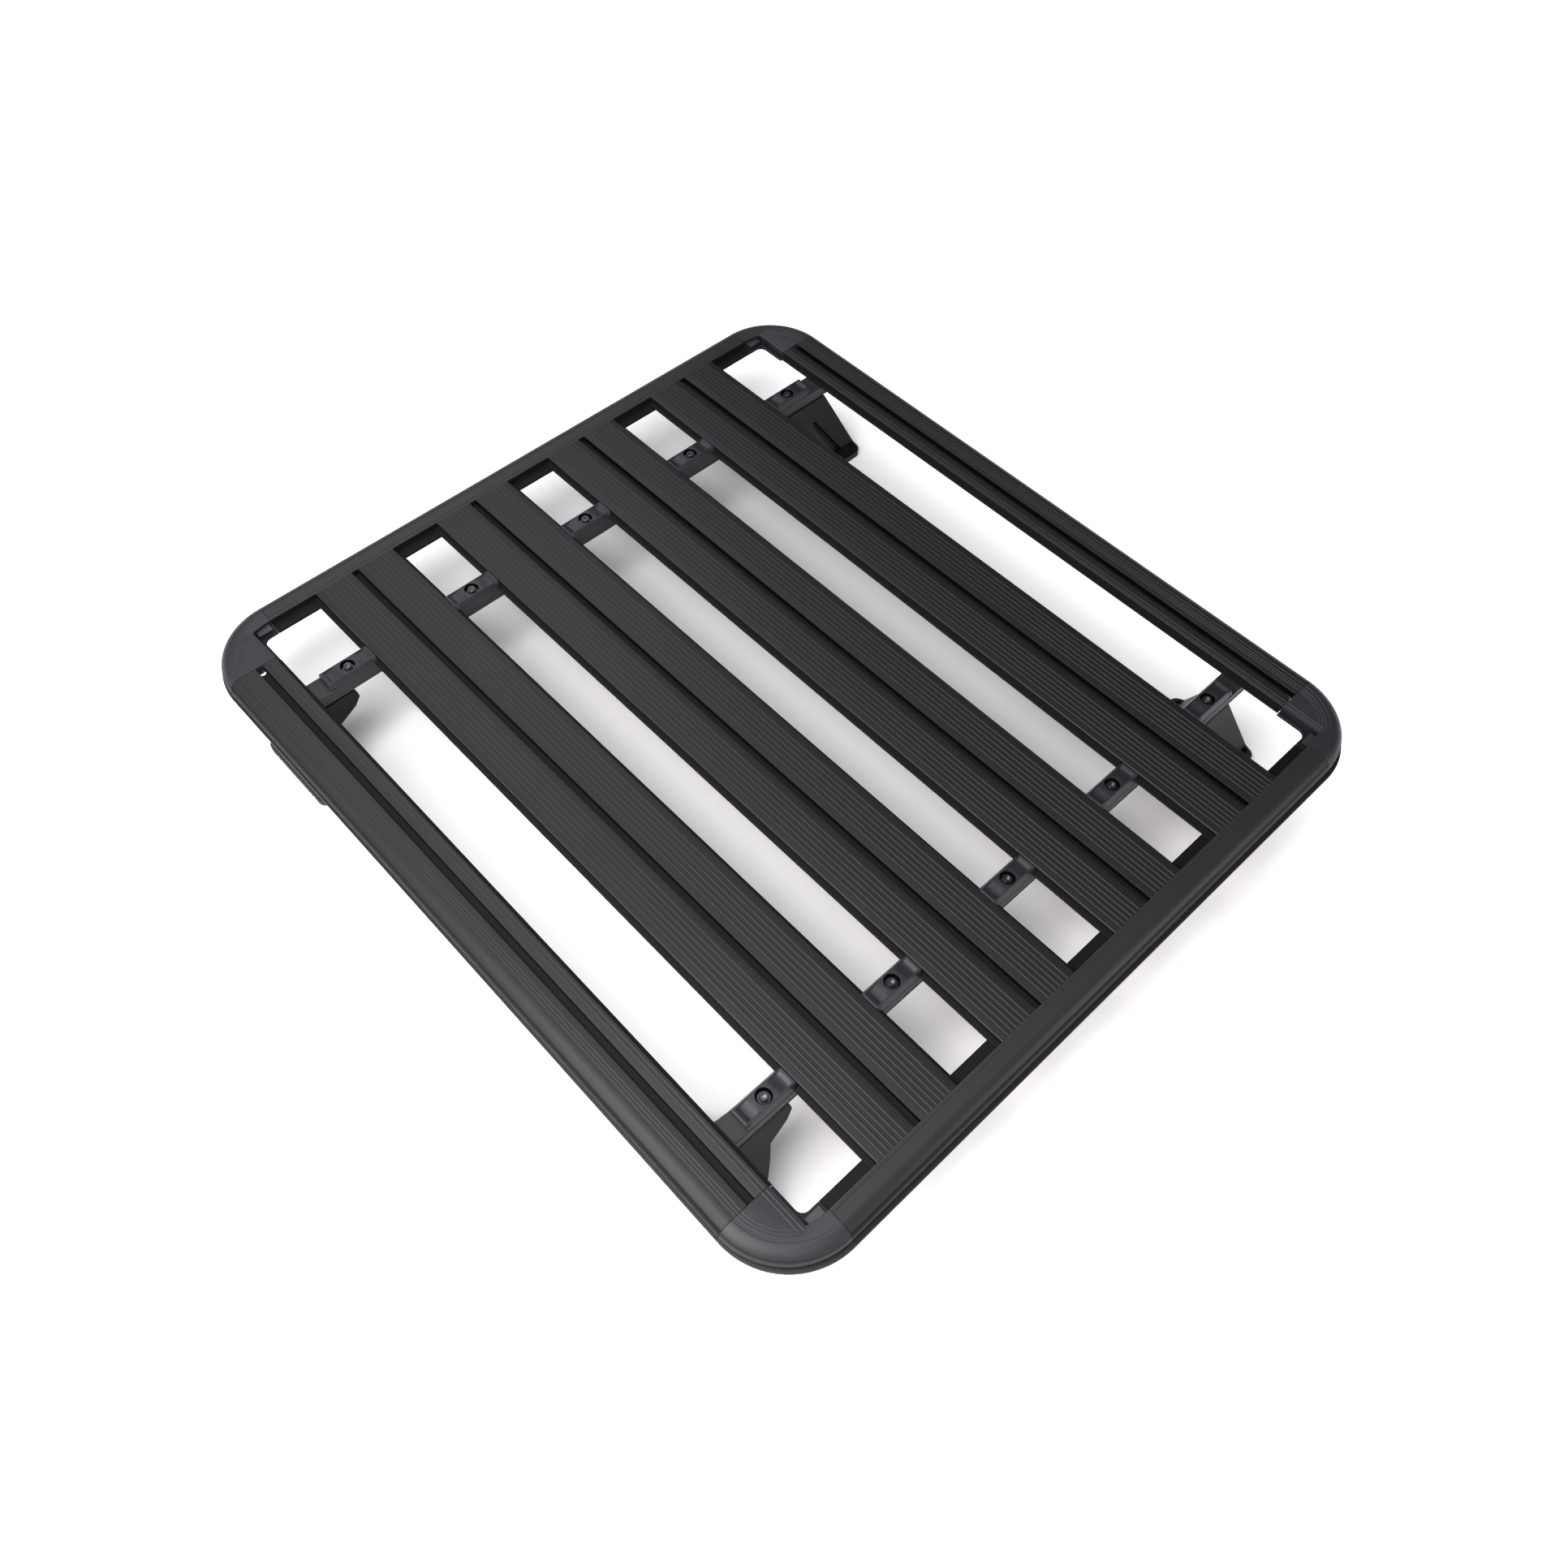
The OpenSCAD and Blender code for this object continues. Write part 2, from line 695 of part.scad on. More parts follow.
module foot(sx, sy, start_x) {
    top = foot_top_z();
    leg_end = foot_leg_edge[2];
    color(moulded_colour)
    at_foot(sx, sy, start_x)
    difference() {
        union() {
            translate([foot_land_u[0], -foot_land_half, top - foot_land_h - 1])
                cube([foot_land_u[1] - foot_land_u[0], 2 * foot_land_half, foot_land_h + 1]);
            // Arm under the crossbar
            hull()
                for (p = foot_arm_edge) foot_slice(p[0], p[1]);
            // Leg that spreads towards the pad
            hull()
                for (p = foot_leg_edge) foot_slice(p[0], p[1]);
            // Flare above the base
            hull() {
                foot_slice(leg_end[0], top - foot_flare_z);
                foot_base(foot_base_top_z, 0.2);
            }
            foot_base(pad_h, foot_base_top_z - pad_h + 0.2);
        }
        // Hollow inside the arm and the leg
        hull() {
            hollow_slice(foot_hollow_u, foot_land_h + foot_ceiling);
            hollow_slice(foot_hollow_u, foot_arm_edge[3][1]);
            hollow_slice(foot_leg_edge[0][0] + 2, foot_leg_edge[0][1] - 2);
        }
        hull() {
            hollow_slice(foot_leg_edge[0][0] + 2, foot_leg_edge[0][1] - 2);
            hollow_slice(leg_end[0] + 4, top - foot_flare_z);
        }
        translate([leg_end[0] + foot_hollow_u, -foot_hollow_half, pad_h - 1])
            cube([
                foot_outer(top - foot_flare_z) - foot_wall - leg_end[0] - foot_hollow_u,
                2 * foot_hollow_half, foot_flare_z - pad_h + 1.2,
            ]);
        foot_pocket();
        for (u = foot_bolt_u)
            translate([u, 0, top - foot_bolt_recess_z]) {
                cylinder(h = foot_bolt_recess_z + 1, d = foot_bolt_d + 0.6);
                cylinder(h = foot_bolt_recess_z - foot_land_h - foot_ceiling, d = foot_bolt_recess_d);
            }
        roof_bolt_holes();
    }
}

// Holes through the base's ends for the roof bolts
module roof_bolt_holes() {
    for (side = [-1, 1])
        translate([lobe_u, side * lobe_v, -1]) cylinder(h = 40, d = roof_bolt_hole_d);
}

module foot_pad(sx, sy, start_x) {
    slot_depth = 4;
    rib_slot = 3;
    notch_w = 6;
    notch_depth = 26;
    edge_u = lobe_u + lobe_d / 2;
    color(rubber_colour)
    at_foot(sx, sy, start_x)
    difference() {
        foot_base(0, pad_h);
        for (i = [-3.5 : 3.5])
            translate([edge_u - slot_depth, i * pad_rib_pitch - rib_slot / 2, -1])
                cube([slot_depth + 1, rib_slot, pad_h + 2]);
        for (side = [-1, 1])
            translate([edge_u - notch_depth, side * pad_notch_v - notch_w / 2, -1])
                cube([notch_depth + 1, notch_w, pad_h + 2]);
        roof_bolt_holes();
    }
}

module foot_bolts(sx, sy, start_x) {
    seat_z = foot_top_z() - foot_land_h - foot_ceiling;
    color(steel_colour)
    at_foot(sx, sy, start_x)
        for (u = foot_bolt_u)
            translate([u, 0, seat_z]) {
                translate([0, 0, -foot_bolt_head_h])
                    cylinder(h = foot_bolt_head_h, d = foot_bolt_head_w, $fn = 6);
                cylinder(h = foot_bolt_l, d = foot_bolt_d);
            }
}

module foot_nuts(sx, sy, start_x) {
    color(steel_colour)
    at_foot(sx, sy, start_x)
        for (u = foot_bolt_u)
            translate([u, 0, deck_height])
                channel_nut(crossbar_bottom_z + bar_lip + foot_gap + nut_h);
}

plank(1);  // plank_1
plank(2);  // plank_2
plank(3);  // plank_3
plank(4);  // plank_4
edge_plank(-1);  // edge_plank_left
edge_plank(1);  // edge_plank_right
end_rail(-1);  // end_rail_front
end_rail(1);  // end_rail_rear
corner(-1, -1);  // corner_front_left
corner(1, -1);  // corner_front_right
corner(-1, 1);  // corner_rear_left
corner(1, 1);  // corner_rear_right
corner_insert(-1, -1);  // corner_insert_front_left
corner_insert(1, -1);  // corner_insert_front_right
corner_insert(-1, 1);  // corner_insert_rear_left
corner_insert(1, 1);  // corner_insert_rear_right
crossbar(-1);  // crossbar_front
crossbar(1);  // crossbar_rear
crossbar_end_caps(-1);  // crossbar_end_caps_front
crossbar_end_caps(1);  // crossbar_end_caps_rear
clamp_block(1, -1);  // clamp_block_front_1
clamp_block(2, -1);  // clamp_block_front_2
clamp_block(3, -1);  // clamp_block_front_3
clamp_block(4, -1);  // clamp_block_front_4
clamp_block(5, -1);  // clamp_block_front_5
clamp_block(1, 1);  // clamp_block_rear_1
clamp_block(2, 1);  // clamp_block_rear_2
clamp_block(3, 1);  // clamp_block_rear_3
clamp_block(4, 1);  // clamp_block_rear_4
clamp_block(5, 1);  // clamp_block_rear_5
clamp_screws(-1);  // clamp_screws_front
clamp_screws(1);  // clamp_screws_rear
clamp_washers(-1);  // clamp_washers_front
clamp_washers(1);  // clamp_washers_rear
clamp_nuts(-1);  // clamp_nuts_front
clamp_nuts(1);  // clamp_nuts_rear
rail_screws(-1);  // rail_screws_front
rail_screws(1);  // rail_screws_rear
edge_screws(-1);  // edge_screws_front
edge_screws(1);  // edge_screws_rear
foot(-1, -1, foot_front_left_x);  // foot_front_left
foot(1, -1, foot_front_right_x);  // foot_front_right
foot(-1, 1, foot_rear_left_x);  // foot_rear_left
foot(1, 1, foot_rear_right_x);  // foot_rear_right
foot_pad(-1, -1, foot_front_left_x);  // foot_pad_front_left
foot_pad(1, -1, foot_front_right_x);  // foot_pad_front_right
foot_pad(-1, 1, foot_rear_left_x);  // foot_pad_rear_left
foot_pad(1, 1, foot_rear_right_x);  // foot_pad_rear_right
foot_bolts(-1, -1, foot_front_left_x);  // foot_bolts_front_left
foot_bolts(1, -1, foot_front_right_x);  // foot_bolts_front_right
foot_bolts(-1, 1, foot_rear_left_x);  // foot_bolts_rear_left
foot_bolts(1, 1, foot_rear_right_x);  // foot_bolts_rear_right
foot_nuts(-1, -1, foot_front_left_x);  // foot_nuts_front_left
foot_nuts(1, -1, foot_front_right_x);  // foot_nuts_front_right
foot_nuts(-1, 1, foot_rear_left_x);  // foot_nuts_rear_left
foot_nuts(1, 1, foot_rear_right_x);  // foot_nuts_rear_right
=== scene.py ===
import json
import math
import bmesh
import bpy
from mathutils import Matrix, Vector


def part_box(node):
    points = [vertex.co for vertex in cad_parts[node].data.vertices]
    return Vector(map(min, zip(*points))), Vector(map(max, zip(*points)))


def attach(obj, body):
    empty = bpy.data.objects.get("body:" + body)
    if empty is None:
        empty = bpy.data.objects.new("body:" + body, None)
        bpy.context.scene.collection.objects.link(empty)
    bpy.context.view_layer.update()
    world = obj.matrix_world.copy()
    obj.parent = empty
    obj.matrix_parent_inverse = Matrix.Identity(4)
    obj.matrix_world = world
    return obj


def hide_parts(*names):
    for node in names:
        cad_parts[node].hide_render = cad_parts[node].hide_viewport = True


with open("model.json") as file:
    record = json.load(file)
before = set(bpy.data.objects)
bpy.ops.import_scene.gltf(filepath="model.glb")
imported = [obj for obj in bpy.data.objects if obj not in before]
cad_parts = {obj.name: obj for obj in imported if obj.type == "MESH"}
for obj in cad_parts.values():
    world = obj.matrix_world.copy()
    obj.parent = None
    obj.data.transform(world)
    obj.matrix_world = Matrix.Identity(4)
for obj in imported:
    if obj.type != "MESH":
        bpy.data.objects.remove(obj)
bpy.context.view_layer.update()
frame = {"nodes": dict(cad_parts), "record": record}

MM = 0.001

# ---------- Places, all from the frame ----------

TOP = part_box("end_rail_rear")[1].z
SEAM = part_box("corner_rear_right")[0]
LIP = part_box("corner_rear_right")[1]
SEAM_X, SEAM_Y = SEAM.x / MM, SEAM.y / MM
LIP_X, LIP_Y = LIP.x / MM, LIP.y / MM
SKIRT = (SEAM.z - TOP) / MM
PLANK_PITCH = (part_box("plank_2")[0].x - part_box("plank_1")[0].x) / MM
PLANK_HALF = (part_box("plank_1")[1].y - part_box("plank_1")[0].y) / MM / 2
FLANGE_HALF = (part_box("plank_1")[1].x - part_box("plank_1")[0].x) / MM / 2
PLANK_BOTTOM = (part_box("plank_1")[0].z - TOP) / MM
EDGE_FLANGE_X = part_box("edge_plank_right")[0].x / MM
RAIL_LEDGE_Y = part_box("end_rail_rear")[0].y / MM
CROSSBAR_Y = (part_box("crossbar_rear")[0].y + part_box("crossbar_rear")[1].y) / MM / 2
CROSSBAR_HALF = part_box("crossbar_rear")[1].x / MM
CROSSBAR_W = (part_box("crossbar_rear")[1].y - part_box("crossbar_rear")[0].y) / MM
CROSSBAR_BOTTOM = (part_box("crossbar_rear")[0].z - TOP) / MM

# ---------- Section sizes that the boxes don't give ----------
# In millimetres, with heights from the platform's top, which the ribs' crowns almost reach.

PLATE = -0.5
WALL = 2.5
PLATE_UNDER = PLATE - WALL
PLANK_TOP_HALF = 72.5
RIB_FIRST, RIB_PITCH, RIB_COUNT = 19.3, 8.06, 6
LEG_IN, LEG_OUT = 35.5, 44.5
SLOT_HALF = 6.0
CHANNEL_HALF = 11.0
CHANNEL_FLOOR = -10.5

EDGE_INNER_X = 537.0
EDGE_SLOT_X = 565.0
EDGE_INNER_RIBS = (541.5, 547.6)
EDGE_OUTER_RIBS = (580.6, 585.2, 589.8)
EDGE_HOLLOW_X = 590.0

NOSE_X = LIP_X - 2.7
NOSE_Y = LIP_Y - 6.2
NOSE_A, NOSE_B = 21.5, 17.5
SIDE_GROOVE = ((0.0, -22.0), (0.9, -22.6), (0.9, -24.2), (0.0, -24.8))
LIP_TOP = SKIRT + 5
LEDGE_BOTTOM = -17.7
RAIL_INNER_Y = RAIL_LEDGE_Y + 17.7
RAIL_GROOVE_IN = 6.0
SEAM_GAP = 0.8

# Where the finish changes on a section, and so where the painted shade and painted highlights begin
CLOSE = 0.1
EDGE_ROUNDING = 1.1
CROWN_LOW = PLATE + 0.3
SIDE_REACH = 4.0
SIDE_LOW, SIDE_HIGH = LIP_TOP + 0.3, -2


# ---------- Materials ----------

def noise(tree, place, scale, detail):
    """Value of a noise over the object."""
    node = tree.nodes.new("ShaderNodeTexNoise")
    node.inputs["Scale"].default_value = scale
    node.inputs["Detail"].default_value = detail
    tree.links.new(place, node.inputs["Vector"])
    return node.outputs["Fac"]


def ramp(tree, value, start, end, low, high):
    """Value that goes from low to high as the given one goes from start to end, and is level beyond."""
    node = tree.nodes.new("ShaderNodeMapRange")
    node.inputs["From Min"].default_value = start
    node.inputs["From Max"].default_value = end
    node.inputs["To Min"].default_value = low
    node.inputs["To Max"].default_value = high
    tree.links.new(value, node.inputs["Value"])
    return node.outputs["Result"]


def combined(tree, operation, first, second):
    """Result of a maths node on two values."""
    node = tree.nodes.new("ShaderNodeMath")
    node.operation = operation
    tree.links.new(first, node.inputs[0])
    tree.links.new(second, node.inputs[1])
    return node.outputs["Value"]


def material(name, colour, roughness, metallic=0.0, grain_scale=900.0, grain=0.12, vary=0.12, specular=0.5):
    """Finish with a fine surface grain and a slow change of tone."""
    tone_scale, roughness_spread, bump_height = 7.0, 0.08, 0.0002
    mat = bpy.data.materials.new(name)
    mat.use_nodes = True
    tree = mat.node_tree
    shader = tree.nodes["Principled BSDF"]
    shader.inputs["Metallic"].default_value = metallic
    shader.inputs["Specular IOR Level"].default_value = specular
    place = tree.nodes.new("ShaderNodeTexCoord").outputs["Object"]

    slow = noise(tree, place, tone_scale, 4.0)
    tint = tree.nodes.new("ShaderNodeVectorMath")
    tint.operation = "SCALE"
    tint.inputs[0].default_value = colour
    tree.links.new(ramp(tree, slow, 0.0, 1.0, 1.0 - vary, 1.0 + vary), tint.inputs["Scale"])
    tree.links.new(tint.outputs["Vector"], shader.inputs["Base Color"])

    fine = noise(tree, place, grain_scale, 3.0)
    rough = ramp(tree, fine, 0.0, 1.0, roughness - roughness_spread, roughness + roughness_spread)
    tree.links.new(rough, shader.inputs["Roughness"])

    bump = tree.nodes.new("ShaderNodeBump")
    bump.inputs["Strength"].default_value = grain
    bump.inputs["Distance"].default_value = bump_height
    tree.links.new(fine, bump.inputs["Height"])
    tree.links.new(bump.outputs["Normal"], shader.inputs["Normal"])
    return mat


# Name, colour and roughness, and what differs from the usual finish
FINISHES = (
    ("coated_aluminium", (0.0102, 0.0109, 0.0112), 0.42, {"vary": 0.08, "grain": 0.2, "specular": 0.21}),
    ("edge_coat", (0.0142, 0.0143, 0.0144), 0.42, {"vary": 0.08, "grain": 0.2, "specular": 0.21}),
    ("rail_coat", (0.0180, 0.0180, 0.0184), 0.42, {"vary": 0.08, "grain": 0.2, "specular": 0.22}),
    # Painted highlight for the ribs' crowns, the planks' rims and the lines on the rails
    ("painted_highlight_coat", (0.0270, 0.0270, 0.0265), 0.38, {"vary": 0.08, "grain": 0.2, "specular": 0.3}),
    # Painted shade for the insides of the slots and of the screw recesses
    ("recess_painted_shade", (0.0018, 0.0018, 0.0018), 0.8, {"specular": 0.05}),
    # Painted shade for the flanges, the sides below the noses, and the rails' inner walls and ledges
    ("painted_shade_aluminium", (0.0046, 0.0048, 0.0049), 0.55, {"vary": 0.08, "grain": 0.2, "specular": 0.11}),
    # Painted shade on the slots' floors, lighter than on their walls
    ("slot_floor_painted_shade", (0.0078, 0.0078, 0.0080), 0.6, {"specular": 0.12}),
    ("crossbar_coat", (0.0150, 0.0152, 0.0160), 0.45, {"specular": 0.3}),
    ("moulded_plastic", (0.0150, 0.0164, 0.0195), 0.48, {"grain_scale": 420, "grain": 0.9, "specular": 0.38}),
    # Painted shade for the corners' sides and ledge
    ("painted_shade_plastic", (0.0072, 0.0080, 0.0096), 0.55, {"grain_scale": 420, "grain": 0.9, "specular": 0.2}),
    # Painted highlight for the corners' rib crowns
    ("corner_painted_highlight", (0.0260, 0.0280, 0.0320), 0.4, {"grain_scale": 420, "grain": 0.5, "specular": 0.38}),
    ("cap_plastic", (0.0080, 0.0080, 0.0090), 0.6, {}),
    ("clamp_coat", (0.0133, 0.0148, 0.0183), 0.4, {"specular": 0.32}),
    ("foot_plastic", (0.0055, 0.0060, 0.0072), 0.5, {"grain_scale": 600, "grain": 0.25, "specular": 0.18}),
    ("pad_rubber", (0.0080, 0.0080, 0.0085), 0.75, {"grain": 0.3}),
    ("bare_casting", (0.0190, 0.0205, 0.0235), 0.5, {"grain_scale": 400, "grain": 0.4}),
    ("dark_steel", (0.0150, 0.0150, 0.0160), 0.26, {"metallic": 0.2}),
    ("bright_steel", (0.22, 0.22, 0.23), 0.3, {"metallic": 0.9}),
    ("zinc_steel", (0.35, 0.35, 0.36), 0.35, {"metallic": 0.9}),
)
MATERIALS = {name: material(name, colour, roughness, **more) for name, colour, roughness, more in FINISHES}


# ---------- Mesh helpers ----------

CORE = 0.0002


def rounded(corners, steps=4):
    """Outline through corners (x, z, radius), each rounded by its radius."""
    points = []
    count = len(corners)
    for i, (x, z, radius) in enumerate(corners):
        here = Vector((x, z))
        if radius == 0:
            points.append(here)
            continue
        before = (Vector(corners[i - 1][:2]) - here).normalized()
        after = (Vector(corners[(i + 1) % count][:2]) - here).normalized()
        half = before.angle(after) / 2
        reach = radius / math.tan(half)
        centre = here + (before + after).normalized() * radius / math.sin(half)
        start = here + before * reach - centre
        end = here + after * reach - centre
        turn = start.angle_signed(end)
        for k in range(steps + 1):
            points.append(centre + Matrix.Rotation(-turn * k / steps, 2) @ start)
    return [(p.x, p.y) for p in points]


def mirrored(right):
    """Whole outline from its right half, which runs from the middle line back to it."""
    return right + [(-x, z) for x, z in reversed(right[1:-1])]


def add_piece(name, mesh, slot, body, replaces=()):
    """Makes the object, smooths it, gives it its material and ties it to the frame."""
    mesh.polygons.foreach_set("use_smooth", [True] * len(mesh.polygons))
    mesh.set_sharp_from_angle(angle=math.radians(32))
    if not mesh.materials:
        mesh.materials.append(MATERIALS[slot])
    piece = bpy.data.objects.new(name, mesh)
    bpy.context.scene.collection.objects.link(piece)
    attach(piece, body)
    if replaces:
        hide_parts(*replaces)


def give_finishes(mesh, *names):
    """Adds materials to a mesh; a face's material_index is a place in this row of names."""
    for name in names:
        mesh.materials.append(MATERIALS[name])


def solid(name, verts, faces):
    """Mesh from points and faces, with its normals outward."""
    mesh = bpy.data.meshes.new(name)
    mesh.from_pydata([tuple(v) for v in verts], [], faces)
    shape = bmesh.new()
    shape.from_mesh(mesh)
    bmesh.ops.remove_doubles(shape, verts=shape.verts, dist=1e-7)
    bmesh.ops.recalc_face_normals(shape, faces=shape.faces)
    shape.to_mesh(mesh)
    shape.free()
    return mesh


def loft(rings, closed=False):
    """Points and faces of a skin through rings of equal length; open ends are capped."""
    size = len(rings[0])
    verts = [p for ring in rings for p in ring]
    faces = []
    spans = len(rings) if closed else len(rings) - 1
    for i in range(spans):
        low, high = i * size, ((i + 1) % len(rings)) * size
        for k in range(size):
            after = (k + 1) % size
            faces.append((low + k, low + after, high + after, high + k))
    if not closed:
        faces.append(tuple(range(size))[::-1])
        faces.append(tuple(range((len(rings) - 1) * size, len(rings) * size)))
    return verts, faces


def merged(parts):
    """One list of points and faces from several."""
    verts, faces = [], []
    for more_verts, more_faces in parts:
        base = len(verts)
        verts += more_verts
        faces += [tuple(base + i for i in face) for face in more_faces]
    return verts, faces


def along_y(outline, y0, y1):
    """Section of (x, z) points swept along Y, in metres."""
    rings = [[Vector((x * MM, y * MM, TOP + z * MM)) for x, z in outline] for y in (y0, y1)]
    return loft(rings)


def along_x(outline, x0, x1):
    """Section of (y, z) points swept along X, in metres."""
    rings = [[Vector((x * MM, y * MM, TOP + z * MM)) for y, z in outline] for x in (x0, x1)]
    return loft(rings)


def turned(part, sx, sy):
    """The part mirrored into another quarter of the platform."""
    verts, faces = part
    return [Vector((v.x * sx, v.y * sy, v.z)) for v in verts], faces


def lathe(profile, centre, steps=48):
    """Solid turned round a vertical axis from (radius, height) points in metres; CORE is its least radius."""
    rings = []
    for i in range(steps):
        angle = 2 * math.pi * i / steps
        rings.append([centre + Vector((r * math.cos(angle), r * math.sin(angle), z)) for r, z in profile])
    return loft(rings, closed=True)


def cut(mesh, cutter_part):
    """The mesh with the cutter's volume taken away."""
    target = bpy.data.objects.new("target", mesh)
    cutter = bpy.data.objects.new("cutter", solid("cutter", *cutter_part))
    bpy.context.scene.collection.objects.link(target)
    bpy.context.scene.collection.objects.link(cutter)
    boolean = target.modifiers.new("cut", "BOOLEAN")
    boolean.object = cutter
    boolean.operation = "DIFFERENCE"
    boolean.solver = "EXACT"
    bpy.context.view_layer.update()
    result = bpy.data.meshes.new_from_object(target.evaluated_get(bpy.context.evaluated_depsgraph_get()))
    bpy.data.objects.remove(target)
    bpy.data.objects.remove(cutter)
    return result


# ---------- Sections, as corners (x or y, z, radius) ----------

def rib(x):
    """Low rib with rounded shoulders, standing on the plate."""
    foot, crown, top = 1.0, 0.45, -0.02
    return [(x - foot, PLATE, 0.3), (x - crown, top, 0.25), (x + crown, top, 0.25), (x + foot, PLATE, 0.3)]


def plank_outline():
    """Ribbed top with a T-slot in the middle, two hollow legs and a low flange on each side."""
    half = [(0, CHANNEL_FLOOR, 0), (SLOT_HALF, CHANNEL_FLOOR, 0)]
    half += [(CHANNEL_HALF, CHANNEL_FLOOR, 0.8), (CHANNEL_HALF, PLATE_UNDER, 0.4)]
    half += [(SLOT_HALF, PLATE_UNDER, 0.3), (SLOT_HALF, PLATE, 0.6)]
    for i in range(RIB_COUNT):
        half += rib(RIB_FIRST + RIB_PITCH * i)
    half += [(PLANK_TOP_HALF, PLATE, 1.2), (PLANK_TOP_HALF, CHANNEL_FLOOR, 0.5)]
    half += [(FLANGE_HALF, CHANNEL_FLOOR, 0.8), (FLANGE_HALF, PLANK_BOTTOM, 0.5)]
    half += [(PLANK_TOP_HALF - WALL, PLANK_BOTTOM, 0.3), (PLANK_TOP_HALF - WALL, PLATE_UNDER, 0.5)]
    half += [(LEG_OUT, PLATE_UNDER, 0.5), (LEG_OUT, PLANK_BOTTOM, 0.3)]
    half += [(LEG_IN, PLANK_BOTTOM, 0.3), (LEG_IN, PLATE_UNDER, 0.5)]
    half += [(CHANNEL_HALF + WALL, PLATE_UNDER, 0.5), (CHANNEL_HALF + WALL, PLANK_BOTTOM, 0.3)]
    half += [(0, PLANK_BOTTOM, 0)]
    return mirrored(rounded(half))


def nose_points(side, steps=14):
    """Rounded nose from its flat top to its side."""
    points = []
    for i in range(steps + 1):
        angle = i * math.pi / 2 / steps
        points.append((side - NOSE_A + NOSE_A * math.sin(angle), -NOSE_B + NOSE_B * math.cos(angle), 0))
    return points


def skirt_points(side, lip):
    """Side below the nose with its fine groove, the lip and the skirt's inside."""
    points = [(side - depth, z, 0.2) for depth, z in SIDE_GROOVE]
    points += [(side, LIP_TOP, 0.4), (lip, LIP_TOP, 0.7), (lip, SKIRT, 0.7), (side - WALL, SKIRT, 0.3)]
    return points


def edge_outline():
    """Flange, ribbed top with a T-slot, and the nose with its skirt."""
    slot_in, slot_out = EDGE_SLOT_X - SLOT_HALF, EDGE_SLOT_X + SLOT_HALF
    channel_in, channel_out = EDGE_SLOT_X - CHANNEL_HALF, EDGE_SLOT_X + CHANNEL_HALF
    flat_end = NOSE_X - NOSE_A
    corners = [(EDGE_FLANGE_X, CHANNEL_FLOOR, 0.8), (EDGE_INNER_X, CHANNEL_FLOOR, 0.5)]
    corners += [(EDGE_INNER_X, PLATE, 0.8)]
    for x in EDGE_INNER_RIBS:
        corners += rib(x)
    corners += [(slot_in, PLATE, 0.6), (slot_in, PLATE_UNDER, 0.3)]
    corners += [(channel_in, PLATE_UNDER, 0.4), (channel_in, CHANNEL_FLOOR, 0.8)]
    corners += [(slot_in, CHANNEL_FLOOR, 0), (slot_out, CHANNEL_FLOOR, 0)]
    corners += [(channel_out, CHANNEL_FLOOR, 0.8), (channel_out, PLATE_UNDER, 0.4)]
    corners += [(slot_out, PLATE_UNDER, 0.3), (slot_out, PLATE, 0.6)]
    for x in EDGE_OUTER_RIBS:
        corners += rib(x)
    corners += [(flat_end - 1.5, PLATE, 0.2), (flat_end - 0.8, -0.02, 0.2)]
    corners += nose_points(NOSE_X) + skirt_points(NOSE_X, LIP_X)
    corners += [(NOSE_X - WALL, -NOSE_B, 0), (EDGE_HOLLOW_X, -WALL - 1, 0)]
    corners += [(EDGE_HOLLOW_X, PLANK_BOTTOM, 0.3), (EDGE_FLANGE_X, PLANK_BOTTOM, 0.5)]
    return rounded(corners)


def groove(y):
    """Fine groove in the end rail's flat top."""
    top, floor, depth = 0.6, 0.3, 0.5
    points = [(y - top, PLATE, 0.15), (y - floor, PLATE - depth, 0.1)]
    points += [(y + floor, PLATE - depth, 0.1), (y + top, PLATE, 0.15)]
    return points


def rail_outline():
    """Ledge for the planks' ends, flat top with a fine groove, and the nose with its skirt."""
    flat_end = NOSE_Y - NOSE_A
    corners = [(RAIL_LEDGE_Y, PLANK_BOTTOM, 0.4), (RAIL_INNER_Y, PLANK_BOTTOM, 0.6)]
    corners += [(RAIL_INNER_Y, PLATE, 0.9)] + groove(RAIL_INNER_Y + RAIL_GROOVE_IN)
    corners += [(flat_end - 0.6, PLATE, 0.1), (flat_end - 0.2, -0.02, 0.1)]
    corners += nose_points(NOSE_Y) + skirt_points(NOSE_Y, LIP_Y)
    corners += [(NOSE_Y - WALL, LEDGE_BOTTOM, 0.5), (RAIL_LEDGE_Y, LEDGE_BOTTOM, 0.4)]
    return rounded(corners)


def crossbar_outline():
    """Closed bar with a ledge along each side and a slotted channel below."""
    half, slot, channel = CROSSBAR_W / 2, 4.5, 9.0
    side = half - 0.8
    top, bottom = PLANK_BOTTOM, CROSSBAR_BOTTOM
    corners = [(0, top, 0), (side, top, 2.2), (side, bottom + 3.4, 0.3)]
    corners += [(half, bottom + 3.0, 0.3), (half, bottom, 0.6)]
    corners += [(slot, bottom, 0.3), (slot, bottom + 2, 0.2)]
    corners += [(channel, bottom + 2, 0.3), (channel, bottom + 8, 0.4), (0, bottom + 8, 0)]
    return mirrored(rounded(corners))


# ---------- Planks, rails and crossbars ----------

